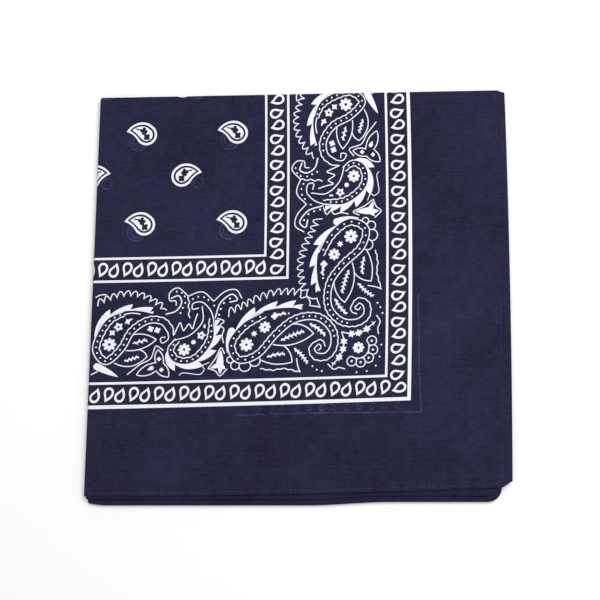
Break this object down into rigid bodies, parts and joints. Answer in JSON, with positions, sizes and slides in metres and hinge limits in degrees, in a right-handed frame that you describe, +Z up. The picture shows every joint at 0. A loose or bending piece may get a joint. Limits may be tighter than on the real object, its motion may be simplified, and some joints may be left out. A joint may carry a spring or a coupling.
{
  "type": "folded bandana",
  "caption": "Square cotton bandana with a paisley print and narrow stitched hems, folded into a small flat square, to be worn round the neck or head.",
  "frame": {"origin": "on the surface that the cloth lies on, below the middle of the folded square", "axes": "+X from the outer fold to the stitched side hem, +Y from the stitched lower hem to the first fold, +Z up from the surface"},
  "size_m": [0.2887, 0.2837, 0.0054],
  "materials": {
    "printed_cotton": "matt navy cotton with a white screen print"
  },
  "bodies": {
    "root": {"top_quarter": "printed_cotton", "hem_right": "printed_cotton", "hem_bottom": "printed_cotton", "folded_layers": "printed_cotton"}
  },
  "joints": []
}
